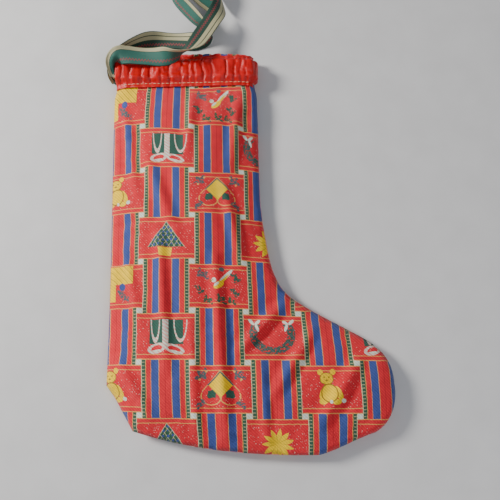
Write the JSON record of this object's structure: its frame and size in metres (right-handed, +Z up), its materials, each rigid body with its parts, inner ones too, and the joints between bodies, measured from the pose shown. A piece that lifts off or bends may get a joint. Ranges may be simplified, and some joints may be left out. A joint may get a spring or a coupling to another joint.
{
  "type": "hanging stocking",
  "caption": "Printed cotton stocking with a gathered satin casing round its mouth and a striped ribbon drawstring tied in a hanging loop.",
  "frame": {"origin": "middle of the surface that the stocking lies on, under the middle of the bag's box", "axes": "+X to the toe, +Y up the leg to the mouth, +Z up from the surface"},
  "size_m": [0.2731, 0.5635, 0.0426],
  "materials": {
    "printed_cotton": "cotton twill, matt",
    "red_satin": "satin, glossy along its gathers",
    "striped_ribbon": "woven ribbon, slight sheen",
    "thread": "sewing thread"
  },
  "bodies": {
    "stocking": {"front_panel": "printed_cotton", "back_panel": "printed_cotton", "seam_thread": "thread", "satin_casing": "red_satin", "casing_stitches_front_lower": "thread", "casing_stitches_front_upper": "thread", "casing_stitches_back_lower": "thread", "casing_stitches_back_upper": "thread", "ribbon_turn": "striped_ribbon"},
    "ribbon": {"ribbon_front_run": "striped_ribbon", "ribbon_back_run": "striped_ribbon"},
    "hanging_loop": {"ribbon_front_tail": "striped_ribbon", "ribbon_back_tail": "striped_ribbon", "ribbon_knot": "striped_ribbon", "ribbon_front_end": "striped_ribbon", "ribbon_back_end": "striped_ribbon"}
  },
  "joints": [
    {"name": "ribbon_draw", "type": "slide", "parent": "stocking", "child": "ribbon", "axis": [-1, 0, 0], "range_m": [0, 0.025]},
    {"name": "loop_swing", "type": "hinge", "parent": "ribbon", "child": "hanging_loop", "pos_m": [-0.1332, 0.1756, 0.012], "axis": [0, 0, 1], "range_deg": [0, 60]}
  ]
}
